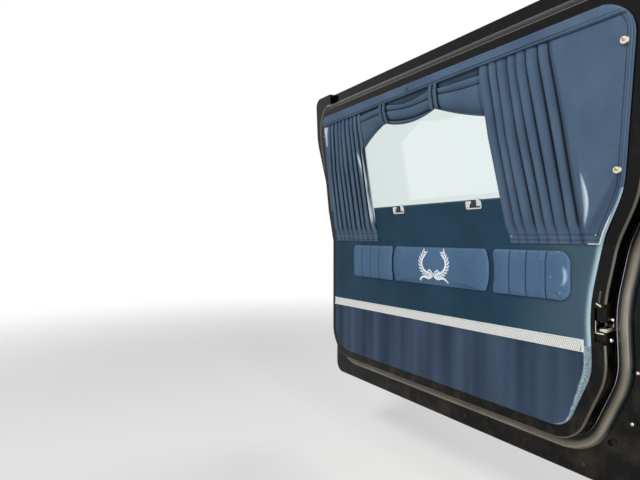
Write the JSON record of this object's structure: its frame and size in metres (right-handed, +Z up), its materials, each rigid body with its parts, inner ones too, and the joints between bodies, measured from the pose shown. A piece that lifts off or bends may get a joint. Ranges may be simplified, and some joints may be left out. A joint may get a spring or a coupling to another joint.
{
  "type": "hearse side door",
  "caption": "Rear side door of a hearse, hung open: black pressed shell with rubber seal, draped window, padded and carpeted inner trim, outer handle, latch, hinges and door check.",
  "frame": {"origin": "centre of the lower hinge's two pillar bolts, on the face that meets the pillar", "axes": "+X from the hinge edge to the free edge, +Y to the outside of the car, +Z up"},
  "size_m": [1.5623, 0.2655, 1.248],
  "materials": {
    "black_paint": "gloss black enamel",
    "glass": "lightly tinted toughened glass",
    "rubber": "worn grey-brown sponge rubber",
    "chrome": "polished chrome plate",
    "zinc": "zinc plated, dull",
    "hinge_steel": "black painted steel, satin",
    "vinyl_board": "smooth dark blue leathercloth",
    "drape_fabric": "slate blue drapery cloth",
    "pad_vinyl": "slate blue grained leathercloth",
    "carpet": "navy cut pile carpet",
    "bright_strip": "fluted anodised aluminium"
  },
  "bodies": {
    "pillar": {"pillar_leaf_lower": "hinge_steel", "pillar_leaf_upper": "hinge_steel", "hinge_pin_lower": "hinge_steel", "hinge_pin_upper": "hinge_steel", "check_bracket": "hinge_steel"},
    "check_strap": {"check_strap": "hinge_steel"},
    "door": {"belt_moulding": "chrome", "bump_stops": "rubber", "carpet_panel": "carpet", "check_plate": "hinge_steel", "door_leaf_lower": "hinge_steel", "door_leaf_upper": "hinge_steel", "door_seal": "rubber", "drape_front": "drape_fabric", "drape_header": "drape_fabric", "drape_rear": "drape_fabric", "glass_gasket": "rubber", "handle_bezel": "chrome", "handle_button": "chrome", "inner_shell": "black_paint", "latch_fork": "zinc", "latch_housing": "zinc", "lock_cylinder": "chrome", "lower_moulding": "chrome", "outer_handle": "chrome", "outer_skin": "black_paint", "pad_centre": "pad_vinyl", "pad_front": "pad_vinyl", "pad_rear": "pad_vinyl", "panel_buttons": "chrome", "rear_fabric_panel": "drape_fabric", "side_moulding": "chrome", "sill_clip_front": "chrome", "sill_clip_rear": "chrome", "trim_strip": "bright_strip", "upper_board": "vinyl_board", "valance": "drape_fabric", "valance_tabs": "drape_fabric", "window_frame": "black_paint", "window_glass": "glass", "window_surround": "drape_fabric"}
  },
  "joints": [
    {"name": "door_swing", "type": "hinge", "parent": "pillar", "child": "door", "pos_m": [0.03996, -0.02125, 0], "axis": [0, 0, 1], "range_deg": [-73, 0]},
    {"name": "check_swing", "type": "hinge", "parent": "pillar", "child": "check_strap", "pos_m": [0.01182, -0.01129, 0.203], "axis": [0, 0, 1], "range_deg": [-36.5, 0]}
  ],
  "couplings": [
    {"joint": "check_swing", "follows": "door_swing", "ratio": 0.5}
  ]
}
